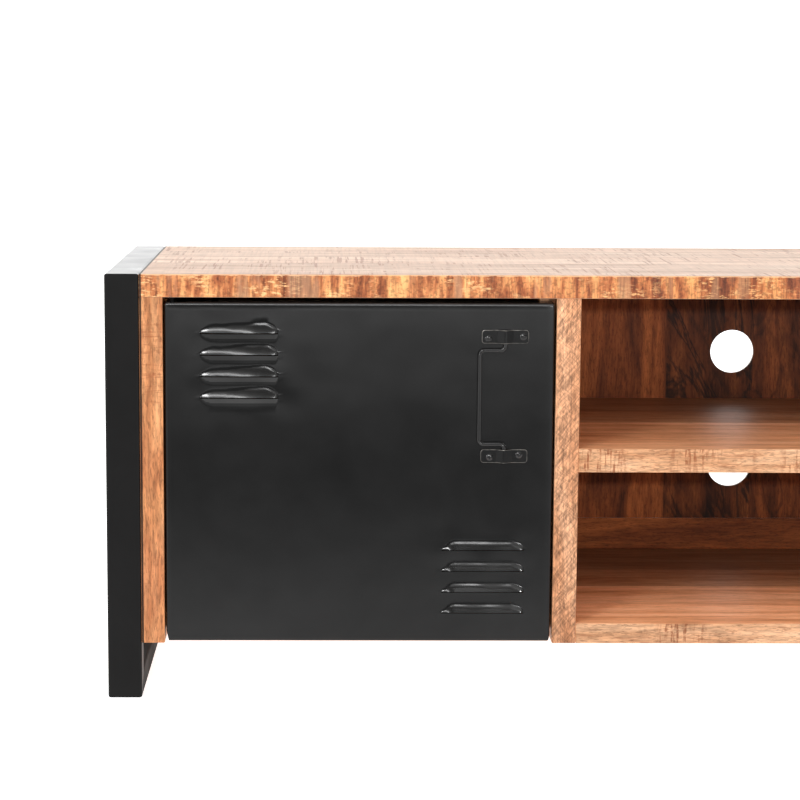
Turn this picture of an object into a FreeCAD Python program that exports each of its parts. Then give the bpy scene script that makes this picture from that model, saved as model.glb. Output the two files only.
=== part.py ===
"""Low television stand: a hardwood carcass hung between two steel end frames.

Millimetres. +Z is up, the doors face -Y, and X runs along the stand. The shapes are built
with the front plane of the carcass at y = 0 and its depth along +Y. export() then moves
them back, so that the origin lies on the floor under the middle of the whole stand, with
the handles counted. Everything on the right is the mirror image of the left.
"""

import FreeCAD, Part
import math
import os

V = FreeCAD.Vector
TINY = 1e-6

# overall size
WIDTH = 1600.0
DEPTH = 450.0
HEIGHT = 500.0

# end frames: rectangular steel tube, mitred and welded into a loop
TUBE_WIDTH = 40.0
TUBE_HEIGHT = 28.0
TUBE_WALL = 2.0
TUBE_CORNER = 3.0

# wooden boards
BOARD = 28.0
SIDE_BOARD = 27.0
TOP_BOARD = 27.0
FLOOR_BOARD = 24.0
BAY_BOTTOM = 18.0
BACK_BOARD = 5.0
EASED_EDGE = 1.0
CARCASS_Z = 66.0
MIDDLE_BAY = 500.0
SHELF_TOP_Z = 298.0
BAY_BOTTOM_Z = 79.0
BAY_BOTTOM_SETBACK = 25.0
BACK_RAIL_TOP_Z = 133.0

# cable holes in the middle back panel
CABLE_HOLE_R = 29.0
CABLE_HOLE_X = 2.5
CABLE_HOLE_Z = (361.5, 206.5)

# doors: folded steel pans, open at the back
SHEET = 1.0
DOOR_DEPTH = 21.0
DOOR_Z = (68.2, 466.3)
HINGE_GAP = 2.0
LATCH_GAP = 2.4
DOOR_CORNER = 2.5
DOOR_EDGE = 2.0
RETURN_LIP = 12.0
HINGE_NOTCH = (30.0, 12.5)
HINGE_TAPER = (3.0, 12.5)
LATCH_TAPER = (2.0, 8.0)

# louvres pressed out of the door: lowest lip, middle and width of each set of four
LOUVRE_COUNT = 4
LOUVRE_PITCH = 25.0
LOUVRE_PROUD = 5.0
LOUVRE_HEIGHT = 13.0
LOUVRE_SLIT = 1.4
LOUVRE_SETS = ((-645.5, 356.5, 90.0), (-361.0, 102.5, 96.0))

# door pivots: a pin down through the top of the pan and one through its bottom
PIVOT_IN = 9.0
PIVOT_BACK = 5.5
PIN_R = 2.5
PIN_CLEARANCE = 0.06
BUSH_R = 4.0
BUSH_LENGTH = 4.0
PLATE = 2.0
PLATE_NOSE_R = 3.8
PIN_HEAD_R = 3.9
PIN_HEAD = 1.6
PIN_PLAY = 0.3
PLATE_SLANT = 30.0
PAD_FROM_SIDE = 14.0
PAD_WIDTH = 48.0
PAD_Y = (34.0, 52.0)
PAD_SCREW_IN = 10.0

# swinging bail handle, its saddle clips and their screws
ROD_R = 2.5
ROD_GAP = 0.3
SADDLE_CLEARANCE = 0.08
CLIP = 1.5
CLIP_HEIGHT = 15.6
CLIP_ENDS = (-27.2, 27.2)
CLIP_Z = (421.0, 281.5)
PIVOT_X = -337.5
GRIP_OFFSET = -29.3
GRIP_Z = (303.6, 413.0)
BEND_R = 5.5
PIN_SHORT = 1.5
CLIP_CORNER = 3.5
SADDLE_SLOPE = 34.0
CLIP_SCREWS = ((-19.3, 5.6, 0), (20.8, 8.0, 0), (-16.6, 6.6, 1), (17.4, 9.4, 1))
SCREW_R = 1.9
SCREW_HEAD_R = 4.1
SCREW_HEAD = 1.6
SCREW_LENGTH = 6.0
CROSS_RECESS = (2.3, 0.5, 0.9)

# corner block behind the latch side of each door, with its magnet
BLOCK_WIDTH = 19.0
BLOCK_DEPTH = 30.0
BLOCK_HEIGHT = 20.0
BLOCK_GAP = 1.4
MAGNET_R = 4.5
MAGNET_PROUD = 1.1
MAGNET_DEPTH = 4.0

# countersunk screws through the side panels into the legs
LEG_SCREW_R = 2.0
LEG_SCREW_HEAD_R = 3.9
LEG_SCREW_LENGTH = 36.0
LEG_SCREW_CLEARANCE = 0.1
LEG_SCREW_Y = (14.0, 426.5)
LEG_SCREW_Z = (140.0, 400.0)

# wood screws that hold the pivot plates
PLATE_SCREW_R = 1.8
PLATE_SCREW_HEAD_R = 3.4
PLATE_SCREW_HEAD = 1.6
PLATE_SCREW_LENGTH = 14.0

# places that follow from the sizes above
HALF = WIDTH / 2
SIDE_OUT = -HALF + TUBE_WIDTH
SIDE_IN = SIDE_OUT + SIDE_BOARD
DIVIDER_IN = -MIDDLE_BAY / 2
DIVIDER_OUT = DIVIDER_IN - BOARD
TOP_UNDER_Z = HEIGHT - TOP_BOARD
BACK_Y = DEPTH - BACK_BOARD
DOOR_X = (SIDE_IN + HINGE_GAP, DIVIDER_OUT - LATCH_GAP)
AXIS_X = DOOR_X[0] + PIVOT_IN
PAD_X = (SIDE_IN + PAD_FROM_SIDE, SIDE_IN + PAD_FROM_SIDE + PAD_WIDTH)
HANDLE_Y = -(ROD_R + ROD_GAP)
SADDLE_IN = ROD_R + SADDLE_CLEARANCE
SADDLE_OUT = SADDLE_IN + CLIP
PROUD = SADDLE_OUT - HANDLE_Y
FRONT_Y = (PROUD - DEPTH) / 2


def block(x, y, z):
    """A box from three (low, high) pairs."""
    return Part.makeBox(x[1] - x[0], y[1] - y[0], z[1] - z[0], V(x[0], y[0], z[0]))


def rod(radius, start, end):
    """A round bar between two points."""
    along = end - start
    return Part.makeCylinder(radius, along.Length, start, along)


def prism(points, along):
    """A flat outline, given by its corners, pushed along a vector."""
    wire = Part.makePolygon(points + points[:1])
    return Part.Face(wire).extrude(along)


def board(x, y, z):
    """A plank with all its edges eased by hand."""
    plank = block(x, y, z)
    return plank.makeFillet(EASED_EDGE, plank.Edges)


def edges_along(shape, direction):
    """The straight edges of a shape that run along one axis."""
    found = []
    for edge in shape.Edges:
        if isinstance(edge.Curve, Part.Line):
            along = edge.tangentAt(edge.FirstParameter)
            if along.cross(direction).Length < TINY:
                found.append(edge)
    return found


def fused(shapes):
    """Shapes that meet, joined into one solid."""
    whole = shapes[0].multiFuse(shapes[1:])
    return whole.removeSplitter()


def group(shapes):
    """Separate solids taken together, as one node or one set of cutting tools."""
    return Part.makeCompound(shapes)


# ---------------------------------------------------------------- end frames


def tube(length):
    """A hollow tube standing along +Z: TUBE_WIDTH in X, TUBE_HEIGHT in Y."""
    outside = block((0, TUBE_WIDTH), (0, TUBE_HEIGHT), (0, length))
    outside = outside.makeFillet(TUBE_CORNER, edges_along(outside, V(0, 0, 1)))
    inside = block(
        (TUBE_WALL, TUBE_WIDTH - TUBE_WALL),
        (TUBE_WALL, TUBE_HEIGHT - TUBE_WALL),
        (0, length),
    )
    return outside.cut(inside)


def mitred(shape, length):
    """A tube lying against y = 0 with both its ends cut to 45 degrees."""
    keep = prism(
        [
            V(0, 0, 0),
            V(0, TUBE_HEIGHT, TUBE_HEIGHT),
            V(0, TUBE_HEIGHT, length - TUBE_HEIGHT),
            V(0, 0, length),
        ],
        V(TUBE_WIDTH, 0, 0),
    )
    return shape.common(keep)


def front_leg():
    """The front leg of the left frame."""
    post = mitred(tube(HEIGHT), HEIGHT)
    post.translate(V(-HALF, 0, 0))
    return post


def bottom_rail():
    """The bottom rail of the left frame, which lies on the floor."""
    bar = mitred(tube(DEPTH), DEPTH)
    bar.rotate(V(0, 0, 0), V(1, 0, 0), -90)
    bar = bar.mirror(V(0, 0, 0), V(0, 0, 1))
    bar.translate(V(-HALF, 0, 0))
    return bar


def end_frame():
    """The four tubes of the left end frame, drilled for the screws that hold the carcass."""
    front = front_leg()
    rear = front.mirror(V(0, DEPTH / 2, 0), V(0, 1, 0))
    bottom = bottom_rail()
    top = bottom.mirror(V(0, 0, HEIGHT / 2), V(0, 0, 1))
    holes = group(leg_screw_holes())
    return {
        "front_leg": front.cut(holes),
        "rear_leg": rear.cut(holes),
        "bottom_rail": bottom,
        "top_rail": top,
    }


# ------------------------------------------------------------ leg fastenings


def leg_screw(y, z, clearance):
    """A countersunk screw from the bay into a leg, or its hole."""
    start = V(SIDE_IN, y, z)
    shank = rod(LEG_SCREW_R + clearance, start, start - V(LEG_SCREW_LENGTH, 0, 0))
    depth = LEG_SCREW_HEAD_R - LEG_SCREW_R
    head = Part.makeCone(
        LEG_SCREW_HEAD_R + clearance, LEG_SCREW_R + clearance, depth, start, V(-1, 0, 0)
    )
    return shank.fuse(head)


def leg_screw_places():
    """Where the leg screws sit: two heights on each of the two legs."""
    return [(y, z) for y in LEG_SCREW_Y for z in LEG_SCREW_Z]


def leg_screw_holes():
    """The clearance holes for the leg screws."""
    return [leg_screw(y, z, LEG_SCREW_CLEARANCE) for y, z in leg_screw_places()]


# -------------------------------------------------------------------- boards


def side_panel():
    panel = board((SIDE_OUT, SIDE_IN), (0, DEPTH), (CARCASS_Z, TOP_UNDER_Z))
    return panel.cut(group(leg_screw_holes()))


def bay_back():
    """The back of a door bay, let in between the side panel and the divider."""
    return board((SIDE_IN, DIVIDER_OUT), (BACK_Y, DEPTH), (BAY_BOTTOM_Z, TOP_UNDER_Z))


def bay_bottom():
    """The floor of a door bay, set back behind the door."""
    shelf = board(
        (SIDE_IN, DIVIDER_OUT),
        (BAY_BOTTOM_SETBACK, BACK_Y),
        (BAY_BOTTOM_Z, BAY_BOTTOM_Z + BAY_BOTTOM),
    )
    return shelf.cut(group([screw_hole(p, 1) for p in lower_plate_screws()]))


def top_board():
    plank = board((SIDE_OUT, -SIDE_OUT), (0, DEPTH), (TOP_UNDER_Z, HEIGHT))
    holes = [screw_hole(p, 1) for p in upper_plate_screws()]
    holes += [mirrored(h) for h in holes]
    return plank.cut(group(holes))


def middle_back():
    """The thin back of the middle bay, with its two cable holes."""
    panel = board((DIVIDER_IN, -DIVIDER_IN), (BACK_Y, DEPTH), (BACK_RAIL_TOP_Z, TOP_UNDER_Z))
    holes = []
    for z in CABLE_HOLE_Z:
        holes.append(rod(CABLE_HOLE_R, V(CABLE_HOLE_X, BACK_Y - 1, z), V(CABLE_HOLE_X, DEPTH + 1, z)))
    return panel.cut(group(holes))


def middle_boards():
    """The boards between the two dividers."""
    across = (DIVIDER_IN, -DIVIDER_IN)
    floor_top = CARCASS_Z + FLOOR_BOARD
    return {
        "middle_shelf": board(across, (0, BACK_Y), (SHELF_TOP_Z - BOARD, SHELF_TOP_Z)),
        "middle_bottom_board": board(across, (0, DEPTH), (CARCASS_Z, floor_top)),
        "middle_back_rail": board(across, (BACK_Y, DEPTH), (floor_top, BACK_RAIL_TOP_Z)),
        "middle_back_panel": middle_back(),
    }


# --------------------------------------------------------------------- doors


def hood_outline(proud, low):
    """Side face of a hood in the YZ plane: an arc from its lip up to the sheet."""
    centre_y = (LOUVRE_HEIGHT**2 - LOUVRE_PROUD**2) / (2 * LOUVRE_PROUD)
    radius = centre_y + proud
    top_angle = math.acos(centre_y / radius)
    lip = V(0, -proud, 0)
    top = V(0, 0, radius * math.sin(top_angle))
    half = top_angle / 2
    on_arc = V(0, centre_y - radius * math.cos(half), radius * math.sin(half))
    edges = [Part.Arc(lip, on_arc, top).toShape()]
    corners = [top, V(0, 0, low), V(0, -proud, low), lip]
    for start, end in zip(corners, corners[1:]):
        if start.distanceToPoint(end) > 0:
            edges.append(Part.LineSegment(start, end).toShape())
    return Part.Face(Part.Wire(edges))


def hood(width, proud, low):
    """A louvre hood with round ends, its lip at z = 0 and its middle at x = 0."""
    flat = width - 2 * LOUVRE_PROUD
    outline = hood_outline(proud, low)
    middle = outline.copy()
    middle.translate(V(-flat / 2, 0, 0))
    solids = [middle.extrude(V(flat, 0, 0))]
    for side in (-1, 1):
        cap = outline.revolve(V(0, 0, 0), V(0, 0, 1), 180 * side)
        cap.translate(V(side * flat / 2, 0, 0))
        solids.append(cap)
    return fused(solids)


def louvres():
    """The outsides and the insides of all the hoods on one door."""
    outsides = []
    insides = []
    for middle_x, lowest_z, width in LOUVRE_SETS:
        outer = hood(width, LOUVRE_PROUD, 0)
        inner = hood(width, LOUVRE_PROUD - SHEET, -LOUVRE_SLIT)
        reach = width / 2 - LOUVRE_PROUD
        through = block((-reach, reach), (0, SHEET), (-LOUVRE_SLIT, inner.BoundBox.ZMax))
        inner = inner.fuse(through)
        for number in range(LOUVRE_COUNT):
            place = V(middle_x, 0, lowest_z + number * LOUVRE_PITCH)
            for tool, found in ((outer, outsides), (inner, insides)):
                copy = tool.copy()
                copy.translate(place)
                found.append(copy)
    return outsides, insides


def door_shell():
    """The folded pan with rounded front edges and return lips, before any hole."""
    outside = block(DOOR_X, (0, DOOR_DEPTH), DOOR_Z)
    outside = outside.makeFillet(DOOR_CORNER, edges_along(outside, V(0, 1, 0)))
    front = [edge for edge in outside.Edges if edge.BoundBox.YMax < TINY]
    outside = outside.makeFillet(DOOR_EDGE, front)
    inner_x = (DOOR_X[0] + SHEET, DOOR_X[1] - SHEET)
    inner_z = (DOOR_Z[0] + SHEET, DOOR_Z[1] - SHEET)
    inside = block(inner_x, (SHEET, DOOR_DEPTH - SHEET), inner_z)
    inside = inside.makeFillet(DOOR_CORNER - SHEET, edges_along(inside, V(0, 1, 0)))
    mouth = block(
        (DOOR_X[0] + RETURN_LIP, DOOR_X[1] - RETURN_LIP),
        (SHEET, DOOR_DEPTH + 1),
        (DOOR_Z[0] + RETURN_LIP, DOOR_Z[1] - RETURN_LIP),
    )
    return outside.cut(inside).cut(mouth)


def door_corner_cuts():
    """The bottom corners of the pan: a notch that clears the lower pivot plate, and two tapers."""
    x_low, x_high = DOOR_X
    z_low = DOOR_Z[0]
    notch_length, notch_height = HINGE_NOTCH
    notch = block(
        (x_low - 1, x_low + notch_length),
        (DOOR_EDGE, DOOR_DEPTH + 1),
        (z_low + SHEET, z_low + notch_height),
    )
    cuts = [notch]
    for x, side, (inward, upward) in ((x_low, 1, HINGE_TAPER), (x_high, -1, LATCH_TAPER)):
        corners = (
            (x - side, z_low - 1),
            (x + side * inward, z_low - 1),
            (x + side * inward, z_low),
            (x, z_low + upward),
            (x - side, z_low + upward),
        )
        outline = [V(corner_x, -1, corner_z) for corner_x, corner_z in corners]
        cuts.append(prism(outline, V(0, DOOR_DEPTH + 2, 0)))
    return cuts


def door_panel():
    outsides, insides = louvres()
    pan = door_shell().cut(group(door_corner_cuts()))
    pan = pan.multiFuse(outsides)
    pan = pan.cut(group(insides))
    holes = [rod(SCREW_R, V(x, -1, z), V(x, SHEET + 1, z)) for x, z in clip_screw_places()]
    below = on_axis(DOOR_Z[0] - 1)
    above = on_axis(DOOR_Z[1] + 1)
    holes.append(rod(PIN_R + PIN_CLEARANCE, below, above))
    pan = pan.cut(group(holes))
    return pan.removeSplitter()


def on_axis(z):
    """A point on the left door's pivot axis."""
    return V(AXIS_X, PIVOT_BACK, z)


def pivot_bushes():
    """Rings welded inside the pan around the two pins."""
    bushes = []
    for z in (DOOR_Z[0] + SHEET, DOOR_Z[1] - SHEET - BUSH_LENGTH):
        start = on_axis(z)
        end = on_axis(z + BUSH_LENGTH)
        bushes.append(rod(BUSH_R, start, end).cut(rod(PIN_R + PIN_CLEARANCE, start, end)))
    return group(bushes)


# -------------------------------------------------------------- door pivots


def pivot_plate(low_z):
    """A round nose on the axis, a slanting neck that the open door clears, and a pad."""
    nose = rod(PLATE_NOSE_R, on_axis(low_z), on_axis(low_z + PLATE))
    slant = math.radians(PLATE_SLANT)
    along = V(math.sin(slant), math.cos(slant), 0)
    across = V(math.cos(slant), -math.sin(slant), 0) * PLATE_NOSE_R
    start = on_axis(low_z)
    end = start + along * ((PAD_Y[0] + PLATE_NOSE_R - PIVOT_BACK) / math.cos(slant))
    neck = prism([start - across, start + across, end + across, end - across], V(0, 0, PLATE))
    pad = block(PAD_X, PAD_Y, (low_z, low_z + PLATE))
    pad = pad.makeFillet(CLIP_CORNER, edges_along(pad, V(0, 0, 1)))
    return fused([nose, neck, pad])


def plate_screw_spots(z):
    """The two screws on a plate's pad, at the height of the plate's face."""
    middle_y = sum(PAD_Y) / 2
    return [V(x, middle_y, z) for x in (PAD_X[0] + PAD_SCREW_IN, PAD_X[1] - PAD_SCREW_IN)]


def upper_plate_screws():
    return plate_screw_spots(TOP_UNDER_Z - PLATE)


def lower_plate_screws():
    return plate_screw_spots(BAY_BOTTOM_Z - PLATE)


def screw_hole(spot, direction):
    """The pilot hole in the wood for a plate screw, which fills it."""
    return rod(PLATE_SCREW_R, spot, spot + V(0, 0, direction * PLATE_SCREW_LENGTH))


def plate_screw(spot):
    """A domed screw driven up through a plate into the wood."""
    shank = rod(PLATE_SCREW_R, spot, spot + V(0, 0, PLATE_SCREW_LENGTH))
    return fused([shank, dome(spot, V(0, 0, -1), PLATE_SCREW_HEAD_R, PLATE_SCREW_HEAD)])


def dome(spot, outward, radius, height):
    """A shallow domed screw head on a face."""
    ball_r = (radius**2 + height**2) / (2 * height)
    ball = Part.makeSphere(ball_r, spot - outward * (ball_r - height))
    return ball.common(Part.makeCylinder(radius + 1, height + 1, spot, outward))


def upper_pivot_pin():
    """Down from the upper plate through the pan; its head underneath carries the door."""
    head_top = DOOR_Z[1] - SHEET - BUSH_LENGTH - PIN_PLAY
    bottom = on_axis(head_top - PIN_HEAD)
    pin = rod(PIN_R, on_axis(TOP_UNDER_Z - PLATE), bottom)
    return fused([pin, rod(PIN_HEAD_R, on_axis(head_top), bottom)])


def lower_pivot_pin():
    """Down from the lower plate through the bush and the bottom of the pan."""
    return rod(PIN_R, on_axis(BAY_BOTTOM_Z - PLATE), on_axis(DOOR_Z[0] + PIN_PLAY))


def pivots():
    upper_z = TOP_UNDER_Z - PLATE
    lower_z = BAY_BOTTOM_Z - PLATE
    upper_holes = group([screw_hole(p, 1) for p in upper_plate_screws()])
    lower_holes = group([screw_hole(p, 1) for p in lower_plate_screws()])
    return {
        "upper_pivot_plate": pivot_plate(upper_z).cut(upper_holes),
        "lower_pivot_plate": pivot_plate(lower_z).cut(lower_holes),
        "upper_pivot_pin": upper_pivot_pin(),
        "lower_pivot_pin": lower_pivot_pin(),
        "upper_pivot_screws": group([plate_screw(p) for p in upper_plate_screws()]),
        "lower_pivot_screws": group([plate_screw(p) for p in lower_plate_screws()]),
    }


# -------------------------------------------------------------------- handle


def bent_rod(points, radius, bend_r):
    """A round rod along straight runs joined by arcs."""
    edges = []
    start = points[0]
    for before, corner, after in zip(points, points[1:], points[2:]):
        back = (before - corner).normalize()
        on = (after - corner).normalize()
        tangent = bend_r / math.tan(back.getAngle(on) / 2)
        first = corner + back * tangent
        last = corner + on * tangent
        middle_way = (back + on).normalize()
        centre = corner + middle_way * math.hypot(tangent, bend_r)
        edges.append(Part.LineSegment(start, first).toShape())
        edges.append(Part.Arc(first, centre - middle_way * bend_r, last).toShape())
        start = last
    edges.append(Part.LineSegment(start, points[-1]).toShape())
    path = Part.Wire(edges)
    section = Part.Wire(Part.makeCircle(radius, points[0], points[1] - points[0]))
    return path.makePipeShell([section], True, True)


def handle_bail():
    """The swinging grip. Its two ends stand upright inside the clips."""
    grip_x = PIVOT_X + GRIP_OFFSET
    low, high = GRIP_Z
    pin_top = CLIP_Z[0] + CLIP_HEIGHT - PIN_SHORT
    pin_bottom = CLIP_Z[1] + PIN_SHORT
    corners = (
        (PIVOT_X, pin_top),
        (PIVOT_X, high),
        (grip_x, high),
        (grip_x, low),
        (PIVOT_X, low),
        (PIVOT_X, pin_bottom),
    )
    return bent_rod([V(x, HANDLE_Y, z) for x, z in corners], ROD_R, BEND_R)


def clip_screw_places():
    """Screw centres as (x, z): two on the upper clip and two on the lower."""
    return [(PIVOT_X + x, CLIP_Z[number] + z) for x, z, number in CLIP_SCREWS]


def strap_face(radius, level):
    """One face of the bent strap over the rod, from ear to ear, as points and the crown arc.

    radius is the crown's, and level is how far the ears' face stands off the door.
    """
    slope = math.radians(SADDLE_SLOPE)
    out = -HANDLE_Y
    touch = (radius * math.sin(slope), out + radius * math.cos(slope))
    foot = touch[0] + (touch[1] - level) / math.tan(slope)
    right = [(CLIP_ENDS[1], level), (foot, level), touch]
    left = [(-x, y) for x, y in reversed(right)]
    left[-1] = (CLIP_ENDS[0], level)
    return right, (0.0, out + radius), left


def handle_clip(number):
    """A strap over one end of the bail: two flat ears that slope up to a round crown."""
    z = CLIP_Z[number]

    def place(spot):
        return V(PIVOT_X + spot[0], -spot[1], z)

    def face_edges(face):
        right, crown, left = face
        edges = [Part.makeLine(place(p), place(q)) for p, q in zip(right, right[1:])]
        edges.append(Part.Arc(place(right[-1]), place(crown), place(left[0])).toShape())
        return edges + [Part.makeLine(place(p), place(q)) for p, q in zip(left, left[1:])]

    outer = strap_face(SADDLE_OUT, CLIP)
    inner = strap_face(SADDLE_IN, 0.0)
    edges = face_edges(outer) + face_edges(inner)
    edges.append(Part.makeLine(place(outer[0][0]), place(inner[0][0])))
    edges.append(Part.makeLine(place(outer[2][-1]), place(inner[2][-1])))
    wire = Part.Wire(Part.__sortEdges__(edges))
    strap = Part.Face(wire).extrude(V(0, 0, CLIP_HEIGHT))
    ends = [e for e in edges_along(strap, V(0, 1, 0)) if abs(e.Length - CLIP) < TINY]
    strap = strap.makeFillet(CLIP_CORNER, ends)
    holes = []
    for (x, screw_z), spot in zip(clip_screw_places(), CLIP_SCREWS):
        if spot[2] == number:
            holes.append(rod(SCREW_R, V(x, -CLIP - 1, screw_z), V(x, 1, screw_z)))
    return strap.cut(group(holes))


def clip_screw(x, z):
    """A small domed machine screw through a clip and the door."""
    face = V(x, -CLIP, z)
    shank = rod(SCREW_R, face, face + V(0, SCREW_LENGTH, 0))
    head = dome(face, V(0, -1, 0), SCREW_HEAD_R, SCREW_HEAD)
    half_length, half_width, depth = CROSS_RECESS
    slot = block(
        (x - half_length, x + half_length),
        (-CLIP - SCREW_HEAD, -CLIP - SCREW_HEAD + depth),
        (z - half_width, z + half_width),
    )
    crossing = slot.copy()
    crossing.rotate(face, V(0, 1, 0), 90)
    return fused([shank, head]).cut(slot).cut(crossing)


# ------------------------------------------------------- corner block, magnet


def corner_block():
    """A hardwood block glued in the top corner, bored for the magnet."""
    block_y = DOOR_DEPTH + BLOCK_GAP
    shape = board(
        (DIVIDER_OUT - BLOCK_WIDTH, DIVIDER_OUT),
        (block_y, block_y + BLOCK_DEPTH),
        (TOP_UNDER_Z - BLOCK_HEIGHT, TOP_UNDER_Z),
    )
    return shape.cut(magnet())


def magnet():
    """A round magnet that stands a little proud of the block's front."""
    face_y = DOOR_DEPTH + BLOCK_GAP
    centre = (DOOR_X[1] - RETURN_LIP / 2, DOOR_Z[1] - RETURN_LIP / 2 + 0.5)
    start = V(centre[0], face_y - MAGNET_PROUD, centre[1])
    return rod(MAGNET_R, start, start + V(0, MAGNET_PROUD + MAGNET_DEPTH, 0))


# -------------------------------------------------------------------- export


def mirrored(shape):
    """The same shape on the other side of the middle."""
    return shape.mirror(V(0, 0, 0), V(1, 0, 0))


def left_parts():
    """Every sub-part of the left side, by name."""
    parts = {}
    parts.update(end_frame())
    parts["side_panel"] = side_panel()
    parts["divider"] = board((DIVIDER_OUT, DIVIDER_IN), (0, DEPTH), (CARCASS_Z, TOP_UNDER_Z))
    parts["bay_bottom"] = bay_bottom()
    parts["bay_back"] = bay_back()
    parts["leg_screws"] = group([leg_screw(y, z, 0) for y, z in leg_screw_places()])
    parts["door_panel"] = door_panel()
    parts["pivot_bushes"] = pivot_bushes()
    parts.update(pivots())
    parts["handle_bail"] = handle_bail()
    parts["upper_handle_clip"] = handle_clip(0)
    parts["lower_handle_clip"] = handle_clip(1)
    parts["handle_screws"] = group([clip_screw(x, z) for x, z in clip_screw_places()])
    parts["corner_block"] = corner_block()
    parts["door_magnet"] = magnet()
    return parts


def export(name, shape):
    """Writes one sub-part, moved back so that the origin is under the stand's middle."""
    moved = shape.copy()
    moved.translate(V(0, FRONT_Y, 0))
    moved.exportStep("parts/%s.step" % name)
    print("%-26s solids %d valid %s" % (name, len(moved.Solids), moved.isValid()))


def main():
    os.makedirs("parts", exist_ok=True)
    for name, shape in left_parts().items():
        export("left_" + name, shape)
        export("right_" + name, mirrored(shape))
    export("top_board", top_board())
    for name, shape in middle_boards().items():
        export(name, shape)


main()
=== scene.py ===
"""Looks of the low television stand: rough-sawn hardwood between black steel end frames."""

import math

import bmesh
import bpy
from mathutils import Matrix, Vector, noise


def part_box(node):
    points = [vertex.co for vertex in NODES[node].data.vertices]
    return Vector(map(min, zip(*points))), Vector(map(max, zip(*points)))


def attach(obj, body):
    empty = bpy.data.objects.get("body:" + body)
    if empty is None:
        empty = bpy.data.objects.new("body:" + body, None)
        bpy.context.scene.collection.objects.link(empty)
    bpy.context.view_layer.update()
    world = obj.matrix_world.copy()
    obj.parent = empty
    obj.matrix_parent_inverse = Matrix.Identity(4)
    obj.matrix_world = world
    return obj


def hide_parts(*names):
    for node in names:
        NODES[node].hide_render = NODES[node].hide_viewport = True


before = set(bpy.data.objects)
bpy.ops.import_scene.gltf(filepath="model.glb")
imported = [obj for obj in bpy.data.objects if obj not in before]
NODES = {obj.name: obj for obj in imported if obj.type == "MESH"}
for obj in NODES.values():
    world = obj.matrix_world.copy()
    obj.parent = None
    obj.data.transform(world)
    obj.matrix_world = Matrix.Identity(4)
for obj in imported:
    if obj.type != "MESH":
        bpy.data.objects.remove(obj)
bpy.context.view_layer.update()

MM = 0.001
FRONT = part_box("left_side_panel")[0].y
TOP_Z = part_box("top_board")[1].z
SIDE_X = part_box("right_side_panel")[1].x
SIDES = ("left", "right")

# door pan, in metres, measured from its hinge edge, its bottom edge and its front face
SHEET = 1.0 * MM
FOLD_R = 3.0 * MM
LIP_WIDTH = 12.0 * MM
RAISED_TOP = 1.0 * MM
FLANGE_RISE = 1.4 * MM
PIVOT_IN = 9.0 * MM
PIVOT_BACK = 5.5 * MM
PIN_HOLE_R = 2.56 * MM
NOTCH = (30.0 * MM, 12.5 * MM)
HINGE_TAPER = (3.0 * MM, 12.5 * MM)
LATCH_TAPER = (2.0 * MM, 8.0 * MM)
# how far a cutting prism reaches past the sheet
OVERSHOOT = 5 * MM
# folds sharper than this, in degrees, are shaded as edges
SHEET_CREASE = 40
CLIP_CREASE = 20

# louvres: middle, lowest lip, width, lengths of the two ends, and how far out the lip and
# the sheet below it are
LOUVRE_SETS = (
    (85.5 * MM, 288.3 * MM, 90.0 * MM, (18.0 * MM, 4.0 * MM), 2.9 * MM, 1.5 * MM),
    (370.0 * MM, 34.3 * MM, 96.0 * MM, (13.0 * MM, 4.0 * MM), 2.8 * MM, 0.0),
)
LOUVRE_COUNT = 4
LOUVRE_PITCH = 25.0 * MM
LOUVRE_HEIGHT = 13.0 * MM
LOUVRE_SLIT = 1.2 * MM
LOUVRE_BELOW = 10.5 * MM
LOUVRE_ROUND = 14.0 * MM
# the paint is glossier where the sheet is pressed out further than this
PRESSED = 0.5 * MM


# ------------------------------------------------------------- material nodes


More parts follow.
